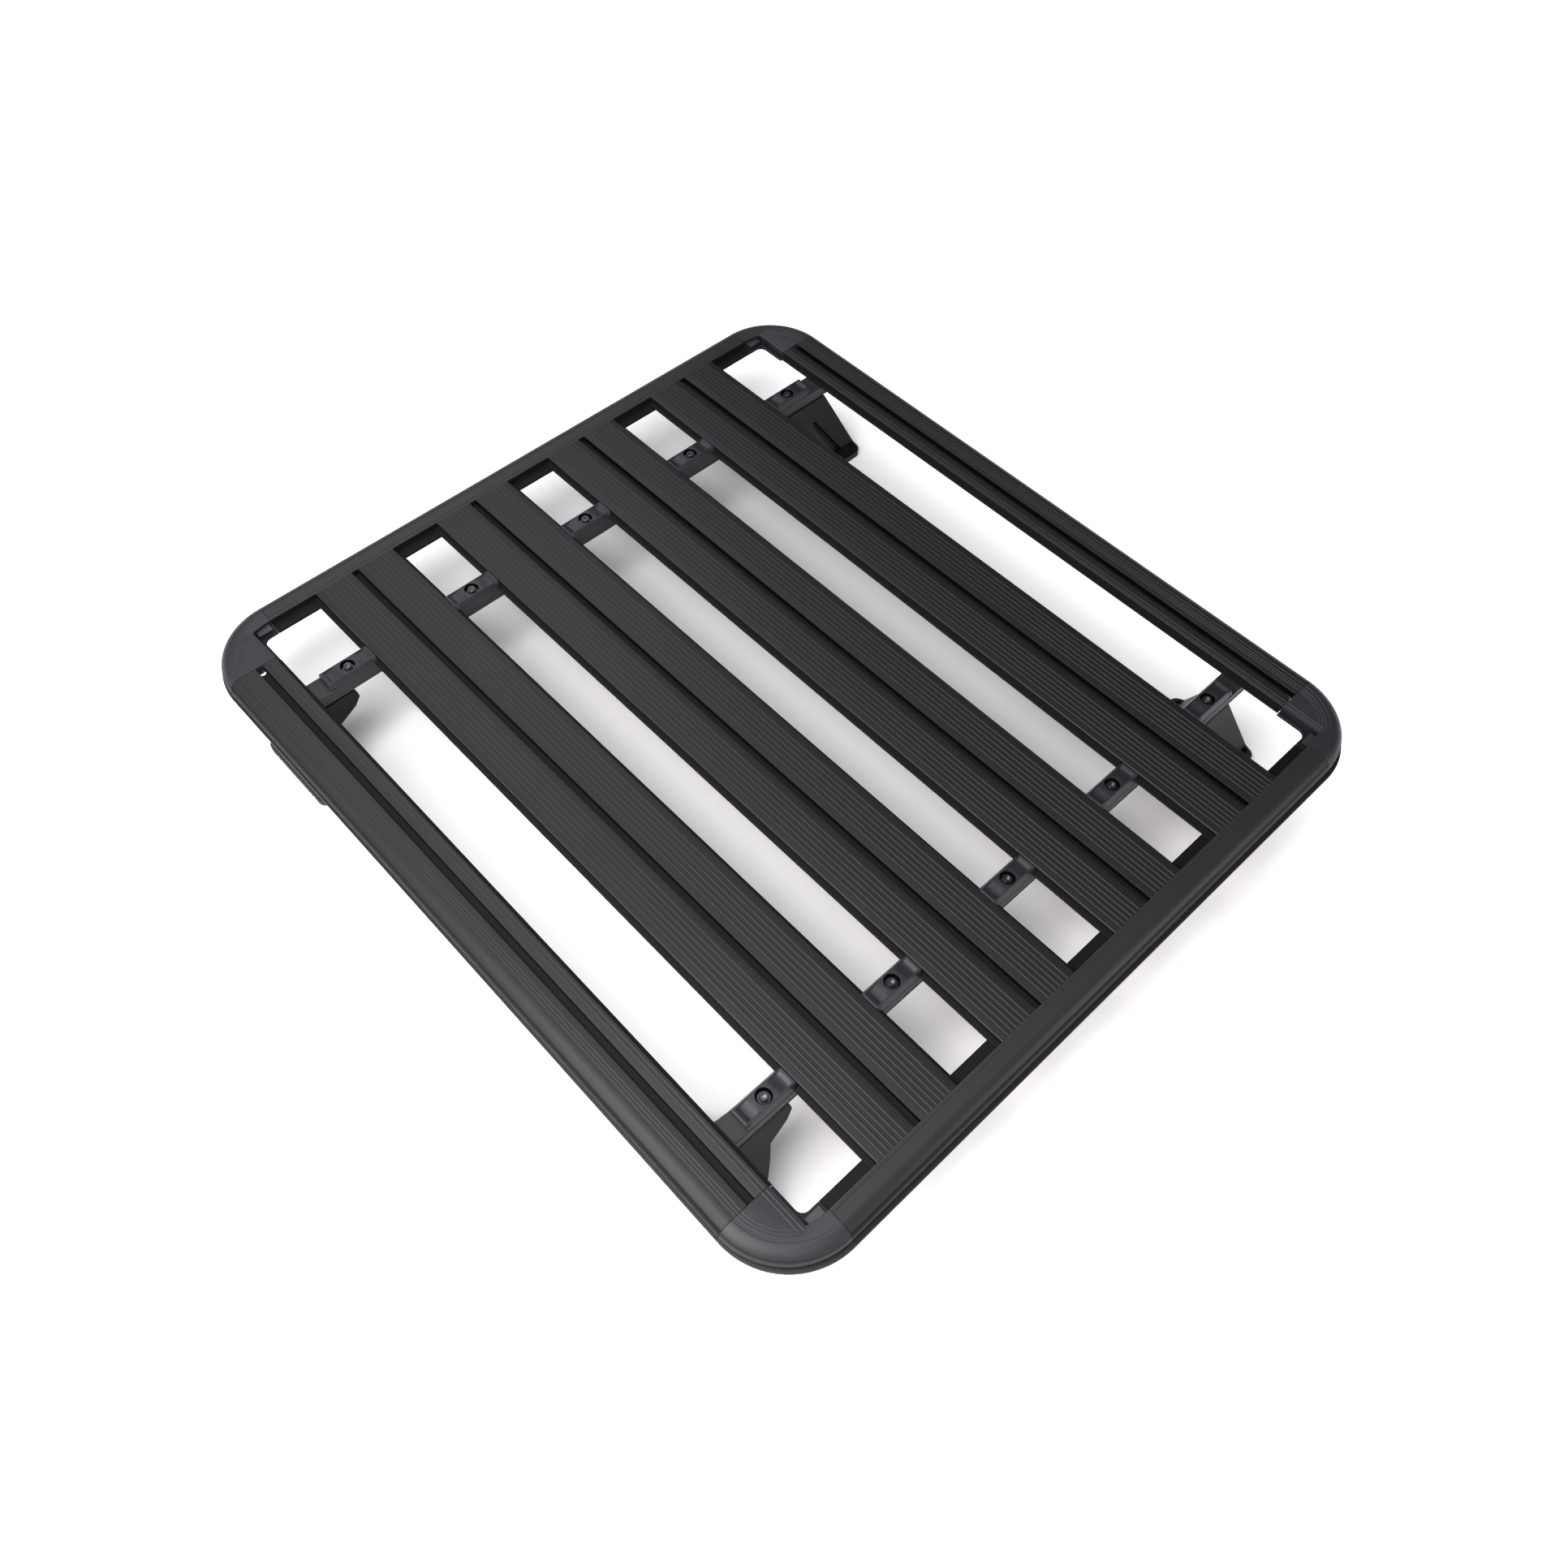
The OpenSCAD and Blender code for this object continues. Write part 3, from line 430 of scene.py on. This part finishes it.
def finish_extrusion(mesh, coat):
    """Painted shade in the slots, duller and darker, painted shade on the flanges and sides, and painted
    highlights on the crowns of the ribs and edges.
    """
    give_finishes(mesh, coat, "recess_painted_shade", "painted_highlight_coat", "painted_shade_aluminium", "slot_floor_painted_shade")
    inside, crown, painted_shade, floor = 1, 2, 3, 4
    for face in mesh.polygons:
        x = abs(face.center.x) / MM
        z = (face.center.z - TOP) / MM
        from_plank = min(abs(x - PLANK_PITCH / 2), abs(x - PLANK_PITCH * 1.5))
        from_slot = min(from_plank, abs(x - EDGE_SLOT_X))
        on_plank_rim = PLANK_TOP_HALF - EDGE_ROUNDING < from_plank < PLANK_TOP_HALF + CLOSE
        on_rim = on_plank_rim or EDGE_INNER_X < x < EDGE_INNER_X + 0.9
        # Painted shade on the slot's floor, lighter than on its walls
        if abs(z - CHANNEL_FLOOR) < CLOSE and from_slot < SLOT_HALF:
            face.material_index = floor
        # Painted shade on the slot's walls and the undersides of its lips
        elif CHANNEL_FLOOR - CLOSE < z < PLATE - 0.8 and from_slot < CHANNEL_HALF + CLOSE:
            face.material_index = inside
        # Painted shade on the side below the nose
        elif x > NOSE_X - SIDE_REACH and SIDE_LOW < z < SIDE_HIGH:
            face.material_index = painted_shade
        # Painted highlight on the ribs' crowns
        elif z > CROWN_LOW and x < NOSE_X - NOSE_A:
            face.material_index = crown
        # Painted highlight along the rounded rims of the planks' tops
        elif PLATE - EDGE_ROUNDING < z < PLATE - 0.05 and on_rim:
            face.material_index = crown
        # Painted shade on the flanges, side walls and undersides
        elif z < PLATE - EDGE_ROUNDING and x < EDGE_INNER_X + CLOSE:
            face.material_index = painted_shade


def finish_rail(mesh):
    """Painted highlight lines beside the rail's groove and nose; painted shade on the side, inner wall and
    ledge.
    """
    give_finishes(mesh, "rail_coat", "painted_highlight_coat", "painted_shade_aluminium")
    crown, painted_shade = 1, 2
    for face in mesh.polygons:
        y = abs(face.center.y) / MM
        z = (face.center.z - TOP) / MM
        from_nose = y - (NOSE_Y - NOSE_A)
        from_inner = y - RAIL_INNER_Y
        by_groove = RAIL_GROOVE_IN - 0.7 < from_inner < RAIL_GROOVE_IN - 0.2
        # Painted highlight lines by the nose, the inner edge and the groove
        if z > PLATE - 0.45 and (-0.7 < from_nose < CLOSE or 0 < from_inner < 0.8 or by_groove):
            face.material_index = crown
        # Painted shade on the rail's inner wall and ledge
        elif z < PLATE - 0.8 and from_inner < CLOSE:
            face.material_index = painted_shade
        # Painted shade on the rail's side below the nose
        elif y > NOSE_Y - SIDE_REACH and SIDE_LOW < z < SIDE_HIGH:
            face.material_index = painted_shade


def build_planks():
    outline = plank_outline()
    for i in range(1, 5):
        centre = (i - 2.5) * PLANK_PITCH
        shifted = [(x + centre, z) for x, z in outline]
        mesh = solid(f"plank_{i}_extrusion", *along_y(shifted, -PLANK_HALF, PLANK_HALF))
        finish_extrusion(mesh, "coated_aluminium")
        add_piece(f"plank_{i}_extrusion", mesh, "coated_aluminium", "platform", [f"plank_{i}"])


def build_edge_planks():
    """Edge planks, each with a drain hole at one end of its slot."""
    outline = edge_outline()
    hole_r, reach, from_seam = 0.005, 0.006, 6
    floor_z = TOP + (CHANNEL_FLOOR + PLANK_BOTTOM) / 2 * MM
    drill = [(CORE, -reach), (hole_r, -reach), (hole_r, reach), (CORE, reach)]
    for name, side in (("edge_plank_right", 1), ("edge_plank_left", -1)):
        part = turned(along_y(outline, SEAM_GAP - SEAM_Y, SEAM_Y - SEAM_GAP), side, side)
        hole = Vector((EDGE_SLOT_X * MM * side, (from_seam - SEAM_Y) * MM * side, floor_z))
        mesh = cut(solid(name, *part), lathe(drill, hole))
        finish_extrusion(mesh, "edge_coat")
        add_piece(name + "_extrusion", mesh, "coated_aluminium", "platform", [name])


def build_end_rails():
    outline = rail_outline()
    for name, side in (("end_rail_rear", 1), ("end_rail_front", -1)):
        part = turned(along_x(outline, SEAM_GAP - SEAM_X, SEAM_X - SEAM_GAP), 1, side)
        mesh = solid(name, *part)
        finish_rail(mesh)
        add_piece(name + "_extrusion", mesh, "coated_aluminium", "platform", [name])


def build_crossbars():
    outline = crossbar_outline()
    for name, side in (("crossbar_rear", 1), ("crossbar_front", -1)):
        shifted = [(y + side * CROSSBAR_Y, z) for y, z in outline]
        mesh = solid(name, *along_x(shifted, -CROSSBAR_HALF, CROSSBAR_HALF))
        add_piece(name + "_extrusion", mesh, "crossbar_coat", "platform", [name])


# ---------- Corners ----------

CORNER_R = NOSE_X - SEAM_X
CORNER_Y = NOSE_Y - CORNER_R
LIP_R = LIP_X - SEAM_X
CORNER_INNER = Vector((536.0, 620.0))
QUARTERS = (("rear_right", 1, 1), ("rear_left", -1, 1), ("front_right", 1, -1), ("front_left", -1, -1))


def around(radius, turn, centre_y):
    """Point of a circle about the corner's centre; turn runs from 0 at the edge plank to 1 at the rail."""
    angle = turn * math.pi / 2
    y = centre_y + radius * math.sin(angle)
    return Vector((SEAM_X + radius * math.cos(angle), max(y, SEAM_Y)))


def opening_edge(turn):
    """Point on the inner edge of the corner's top."""
    straight = 0.62
    if turn <= straight:
        return Vector((CORNER_INNER.x, SEAM_Y + (CORNER_INNER.y - SEAM_Y) * turn / straight))
    rest = (turn - straight) / (1 - straight)
    rise = (RAIL_INNER_Y - CORNER_INNER.y) * math.sin(rest * math.pi / 2)
    return Vector((CORNER_INNER.x + (SEAM_X - CORNER_INNER.x) * rest, CORNER_INNER.y + rise))


def ledge_edge(turn, radius=12.0):
    """Point on the inner edge of the corner's ledge, filleted."""
    corner = Vector((EDGE_FLANGE_X, RAIL_LEDGE_Y))
    low, high = 0.35, 0.75
    if turn <= low:
        return Vector((corner.x, SEAM_Y + (corner.y - radius - SEAM_Y) * turn / low))
    if turn >= high:
        rest = (turn - high) / (1 - high)
        return Vector((corner.x - radius + (SEAM_X - corner.x + radius) * rest, corner.y))
    angle = (turn - low) / (high - low) * math.pi / 2
    return corner + Vector((radius * math.cos(angle) - radius, radius * math.sin(angle) - radius))


def corner_ring(turn):
    """Closed section of the corner piece at one place round its bend."""
    edge = opening_edge(turn)
    ledge = ledge_edge(turn)
    out = (around(CORNER_R - NOSE_A, turn, CORNER_Y) - edge).normalized()
    ring = [(ledge, LEDGE_BOTTOM), (ledge, PLANK_BOTTOM - 0.4), (ledge + out * 0.4, PLANK_BOTTOM)]
    ring += [(edge, PLANK_BOTTOM), (edge, -1.5), (edge + out * 0.3, -0.8), (edge + out, PLATE)]
    outside = [(CORNER_R - NOSE_A - 0.8, PLATE), (CORNER_R - NOSE_A - 0.3, -0.05)]
    outside += [(r, z) for r, z, _ in nose_points(CORNER_R)]
    outside += [(CORNER_R - depth, z) for depth, z in SIDE_GROOVE] + [(CORNER_R, LIP_TOP)]
    ring += [(around(r, turn, CORNER_Y), z) for r, z in outside]
    lip = [(LIP_R - 0.5, LIP_TOP), (LIP_R, LIP_TOP - 0.5), (LIP_R, SKIRT + 0.5), (LIP_R - 0.5, SKIRT)]
    ring += [(around(r, turn, LIP_Y - LIP_R), z) for r, z in lip]
    ring += [(around(CORNER_R - WALL, turn, CORNER_Y), z) for z in (SKIRT, LEDGE_BOTTOM)]
    return [Vector((p.x * MM, p.y * MM, TOP + z * MM)) for p, z in ring]


def rib_along(path):
    """Low rib that follows a path of plan points in millimetres."""
    foot, crown, top, root = 1.0, 0.4, -0.05, PLATE - 0.2
    section = ((-foot, root), (-foot, PLATE), (-crown, top), (crown, top), (foot, PLATE), (foot, root))
    rings = []
    for i, here in enumerate(path):
        ahead = path[min(i + 1, len(path) - 1)] - path[max(i - 1, 0)]
        side = Vector((ahead.y, -ahead.x)).normalized()
        rings.append([
            Vector(((here.x + side.x * w) * MM, (here.y + side.y * w) * MM, TOP + z * MM)) for w, z in section
        ])
    return loft(rings)


def corner_ribs():
    """Ribs that carry the edge plank's lines on to the corner."""
    steps = 24
    parts = []
    for x in EDGE_INNER_RIBS:
        parts.append(rib_along([Vector((x, SEAM_Y + 0.3)), Vector((x, CORNER_INNER.y + 2))]))
    for x, last in zip(EDGE_OUTER_RIBS, (0.62, 0.64, 0.66)):
        path = [around(x - SEAM_X, step * last / steps, CORNER_Y) for step in range(steps + 1)]
        parts.append(rib_along(path))
    return parts


def finish_corner(mesh):
    """Painted shade on the sides and ledge, and painted highlights on the crowns of the ribs."""
    give_finishes(mesh, "moulded_plastic", "painted_shade_plastic", "corner_painted_highlight")
    painted_shade, crown = 1, 2
    for face in mesh.polygons:
        reach = Vector((abs(face.center.x) / MM - SEAM_X, abs(face.center.y) / MM - CORNER_Y)).length
        z = (face.center.z - TOP) / MM
        # Painted shade on the corner's side below the nose
        if reach > CORNER_R - SIDE_REACH and SIDE_LOW < z < SIDE_HIGH:
            face.material_index = painted_shade
        # Painted highlight on the ribs' crowns
        elif z > CROWN_LOW and reach < CORNER_R - NOSE_A - 1:
            face.material_index = crown
        # Painted shade on the corner's ledge and inner walls
        elif z < PLATE - EDGE_ROUNDING and reach < CORNER_R - NOSE_A - 2:
            face.material_index = painted_shade


def build_corners():
    steps = 48
    part = merged([loft([corner_ring(i / steps) for i in range(steps + 1)])] + corner_ribs())
    for name, sx, sy in QUARTERS:
        mesh = solid(f"corner_{name}_moulding", *turned(part, sx, sy))
        finish_corner(mesh)
        add_piece(f"corner_{name}_moulding", mesh, "moulded_plastic", "platform", [f"corner_{name}"])


# ---------- Clamps ----------

SCREW_SEAT = TOP - 9.0 * MM
RECESS_R = 0.0112
WASHER_R = 0.009
WASHER_T = 0.0016
HEAD_R, HEAD_H = 0.0065, 0.006
SHANK_R, SHANK_L = 0.004, 0.014
SOCKET_HALF, SOCKET_DEPTH = 0.003, 0.004


def pocket_depth(reach):
    """Depth of the block's scooped pocket at a distance from the screw, in millimetres."""
    start, deepest, end, half_depth = 13, 31, 40.5, 1.1
    if start < reach <= deepest:
        return half_depth - half_depth * math.cos(math.pi * (reach - start) / (deepest - start))
    if deepest < reach < end:
        return half_depth + half_depth * math.cos(math.pi * (reach - deepest) / (end - deepest))
    return 0.0


def end_inset(reach):
    """How far the block's section draws in at its softened ends, in millimetres."""
    if reach > 42.3:
        return 0.5
    return 0.15 if reach > 41.9 else 0.0


def block_ring(x):
    """Section of the block at a distance from the screw."""
    half_top, half_base, flange_from = 13.5, 18.0, 35.2
    inset = end_inset(abs(x))
    base = CHANNEL_FLOOR + 0.2 if abs(x) > flange_from else PLANK_BOTTOM
    shoulder = max(PLANK_BOTTOM + 2, base + 0.2)
    top = -1.0 - inset
    low = top - pocket_depth(abs(x))
    section = [(-half_base + 2 * inset, base), (-half_base + inset, shoulder)]
    section += [(-half_top - 0.3, top - 0.4), (-half_top + 0.3, top), (-half_top + 1.8, top)]
    section += [(-half_top + 2.3, low), (0, low)]
    section += [(-y, z) for y, z in reversed(section[:-1])]
    return [Vector((x * MM, y * MM, TOP + z * MM)) for y, z in section]


def block_mesh():
    """Block with sloping sides, a scooped pocket at each end and a round recess for the screw."""
    half = [-42.5, -42.1, -41.5] + [-40.5 + i for i in range(28)] + [-12.5]
    stations = half + [-x for x in reversed(half)]
    recess = [(CORE, SCREW_SEAT), (RECESS_R, SCREW_SEAT), (0.0115, TOP - 0.0014), (0.0119, TOP - 0.0009)]
    recess += [(0.0119, TOP + 0.01), (CORE, TOP + 0.01)]
    body = solid("clamp_block_body", *loft([block_ring(x) for x in stations]))
    mesh = cut(body, lathe(recess, Vector((0, 0, 0)), 64))
    # The screw recess's walls and floor take painted shade
    give_finishes(mesh, "clamp_coat", "recess_painted_shade")
    for face in mesh.polygons:
        if face.center.xy.length < RECESS_R + 0.0004 and face.center.z < TOP - 0.002:
            face.material_index = 1
    return mesh


def washer_mesh():
    inner, top = 0.0042, SCREW_SEAT + WASHER_T
    profile = [(inner, SCREW_SEAT), (WASHER_R - 0.0001, SCREW_SEAT), (WASHER_R, SCREW_SEAT + 0.0002)]
    profile += [(WASHER_R, top - 0.0002), (WASHER_R - 0.0002, top), (inner, top)]
    return solid("clamp_washer_ring", *lathe(profile, Vector((0, 0, 0))))


def screw_mesh(steps=48):
    """Socket-head screw with a hexagon socket, standing on the washer."""
    low = SCREW_SEAT + WASHER_T
    top = low + HEAD_H
    outer = [(CORE, low - SHANK_L), (SHANK_R - 0.0003, low - SHANK_L), (SHANK_R, low - SHANK_L + 0.0005)]
    outer += [(SHANK_R, low), (HEAD_R - 0.0001, low), (HEAD_R, low + 0.0002)]
    outer += [(HEAD_R, top - 0.0008), (HEAD_R - 0.0006, top)]
    rings = []
    for i in range(steps):
        angle = 2 * math.pi * i / steps
        sector = (angle + math.pi / 6) % (math.pi / 3) - math.pi / 6
        socket = SOCKET_HALF / math.cos(sector)
        profile = outer + [(socket + 0.0004, top), (socket, top - 0.0004)]
        profile += [(socket, top - SOCKET_DEPTH), (CORE, top - SOCKET_DEPTH - 0.0003)]
        rings.append([Vector((r * math.cos(angle), r * math.sin(angle), z)) for r, z in profile])
    mesh = solid("clamp_screw_head", *loft(rings, closed=True))
    # The socket's inside takes bright steel as a painted glint
    give_finishes(mesh, "dark_steel", "bright_steel")
    for face in mesh.polygons:
        if face.center.xy.length < SOCKET_HALF + 0.0004 and low < face.center.z < top - 0.0005:
            face.material_index = 1
    return mesh


def build_clamps():
    """A block, screw and washer in each gap over each crossbar. One CAD node holds a row's five screws
    and another its washers, so the first of each row replaces it."""
    kinds = (
        ("block", block_mesh(), "clamp_coat"),
        ("screw", screw_mesh(), "dark_steel"),
        ("washer", washer_mesh(), "dark_steel"),
    )
    for row, side in (("front", -1), ("rear", 1)):
        for i in range(1, 6):
            place = Matrix.Translation(((i - 3) * PLANK_PITCH * MM, side * CROSSBAR_Y * MM, 0))
            for kind, source, slot in kinds:
                mesh = source.copy()
                mesh.transform(place)
                hidden = [f"clamp_{kind}s_{row}"] if i == 1 else []
                if kind == "block":
                    hidden = [f"clamp_block_{row}_{i}"]
                add_piece(f"clamp_{kind}_{row}_{i}_detail", mesh, slot, "platform", hidden)


# ---------- The CAD pieces that stay ----------

def finish_cad_nodes():
    """Gives every CAD node that still shows its material and softened edges."""
    slots = {entry["node"]: entry["material_slot"] for entry in frame["record"]["subparts"]}
    for name, node in frame["nodes"].items():
        node.data.materials.clear()
        node.data.materials.append(MATERIALS[slots[name]])
        edge = node.modifiers.new("edges", "BEVEL")
        edge.width = 0.0005
        edge.segments = 2
        edge.limit_method = "ANGLE"
        edge.angle_limit = math.radians(35)
        edge.harden_normals = True


# ---------- Floor, light and camera ----------

def floor_material():
    """White floor that glows past the platform's sides like a light table lit from below: painted light over
    the platform's shadow there, which also lights the platform's sides.
    """
    mat = bpy.data.materials.new("studio_floor")
    mat.use_nodes = True
    tree = mat.node_tree
    shader = tree.nodes["Principled BSDF"]
    shader.inputs["Base Color"].default_value = (0.93, 0.93, 0.94, 1)
    shader.inputs["Roughness"].default_value = 0.9
    shader.inputs["Specular IOR Level"].default_value = 0.1
    shader.inputs["Emission Color"].default_value = (1, 1, 1, 1)
    place = tree.nodes.new("ShaderNodeTexCoord").outputs["Object"]

    # The right and far sides: glow that rises quickly past the lip, then slowly; painted light over the
    # platform's shadow there
    beyond = tree.nodes.new("ShaderNodeVectorMath")
    beyond.operation = "SUBTRACT"
    beyond.inputs[1].default_value = (LIP_X * MM, LIP_Y * MM + 0.2, 0)
    tree.links.new(place, beyond.inputs[0])
    past = tree.nodes.new("ShaderNodeSeparateXYZ")
    tree.links.new(beyond.outputs["Vector"], past.inputs["Vector"])
    furthest = combined(tree, "MAXIMUM", past.outputs["X"], past.outputs["Y"])
    close = ramp(tree, furthest, -0.15, 0.03, 0.03, 0.45)
    slow = ramp(tree, furthest, 0.0, 0.9, 0.0, 0.5)

    # All round, far out: painted light where the lamps fall off
    reach = tree.nodes.new("ShaderNodeVectorMath")
    reach.operation = "LENGTH"
    tree.links.new(place, reach.inputs[0])
    outer = ramp(tree, reach.outputs["Value"], 1.6, 2.8, 0.0, 1.0)

    # The near side: painted light over the platform's shadow beyond the near rail
    spot = tree.nodes.new("ShaderNodeSeparateXYZ")
    tree.links.new(place, spot.inputs["Vector"])
    front = ramp(tree, spot.outputs["Y"], 0.12 - LIP_Y * MM, 0.01 - LIP_Y * MM, 0.0, 0.25)

    glow = combined(tree, "ADD", close, slow)
    for more in (outer, front):
        glow = combined(tree, "ADD", glow, more)
    tree.links.new(glow, shader.inputs["Emission Strength"])
    return mat


def build_stage():
    mesh = bpy.data.meshes.new("studio_floor")
    size = 12.0
    square = [(-size, -size, 0), (size, -size, 0), (size, size, 0), (-size, size, 0)]
    mesh.from_pydata(square, [], [(0, 1, 2, 3)])
    mesh.materials.append(floor_material())
    floor = bpy.data.objects.new("studio_floor", mesh)
    bpy.context.scene.collection.objects.link(floor)
    floor.location.z = -0.0005


DECK = (0, 0, 0.1)
WARM, WARMER, WHITE, COOL = (1.0, 0.975, 0.945), (1.0, 0.94, 0.9), (1, 1, 1), (0.92, 0.96, 1.0)

# Name, place, target, size, power and colour
SOFTBOXES = (
    ("left_softbox", (-1.5, -0.2, 1.5), (0.2, -0.1, 0.1), (1.2, 2.2), 68, WARM),
    ("high_left_softbox", (-1.35, 0.5, 2.4), (-0.6, -0.35, 0.15), (0.7, 0.7), 12, WARM),
    ("near_left_softbox", (-1.4, -1.6, 1.8), DECK, (1.5, 1.5), 22, WARM),
    ("far_left_softbox", (-1.6, 1.5, 1.8), DECK, (1.5, 1.5), 12, WHITE),
    ("far_softbox", (0.6, 2.2, 2.6), DECK, (2.0, 2.0), 32, COOL),
    ("overhead_softbox", (-0.2, 0.0, 2.6), DECK, (1.5, 1.5), 20, COOL),
    ("near_right_softbox", (0.9, -2.2, 1.0), (0.2, -0.66, 0.15), (1.4, 0.9), 18, WARMER),
)


def add_softbox(name, place, target, size, power, colour):
    light = bpy.data.lights.new(name, "AREA")
    light.shape = "RECTANGLE"
    light.size, light.size_y = size
    light.energy = power
    light.color = colour
    lamp = bpy.data.objects.new(name, light)
    lamp.location = place
    lamp.rotation_euler = (Vector(target) - Vector(place)).to_track_quat("-Z", "Y").to_euler()
    bpy.context.scene.collection.objects.link(lamp)


def build_light():
    """Softboxes, a faint light from all round, and a white backdrop that only the camera sees."""
    world = bpy.data.worlds.new("studio")
    world.use_nodes = True
    bpy.context.scene.world = world
    nodes, links = world.node_tree.nodes, world.node_tree.links
    faint = nodes["Background"]
    faint.inputs["Color"].default_value = (1, 1, 1, 1)
    faint.inputs["Strength"].default_value = 0.03
    backdrop = nodes.new("ShaderNodeBackground")
    backdrop.inputs["Color"].default_value = (1, 1, 1, 1)
    sight = nodes.new("ShaderNodeLightPath")
    mix = nodes.new("ShaderNodeMixShader")
    links.new(sight.outputs["Is Camera Ray"], mix.inputs["Fac"])
    links.new(faint.outputs["Background"], mix.inputs[1])
    links.new(backdrop.outputs["Background"], mix.inputs[2])
    links.new(mix.outputs["Shader"], nodes["World Output"].inputs["Surface"])
    for softbox in SOFTBOXES:
        add_softbox(*softbox)


def build_camera():
    """Camera with the photograph's view: high over the near left corner, looking down."""
    place = (-0.8821, -0.8985, TOP + 1.612)
    right = Vector((0.72659, -0.68675, 0.02098)).normalized()
    forward = Vector((0.39270, 0.39004, -0.83286)).normalized()
    up = right.cross(forward).normalized()
    data = bpy.data.cameras.new("camera")
    data.sensor_width = 36.0
    data.lens = 30.61
    camera = bpy.data.objects.new("camera", data)
    turn = Matrix((right, up, -forward)).transposed()
    camera.matrix_world = Matrix.Translation(place) @ turn.to_4x4()
    bpy.context.scene.collection.objects.link(camera)
    bpy.context.scene.camera = camera


build_planks()
build_edge_planks()
build_end_rails()
build_crossbars()
build_corners()
build_clamps()
finish_cad_nodes()
build_stage()
build_light()
build_camera()
bpy.context.scene.view_settings.view_transform = "Standard"
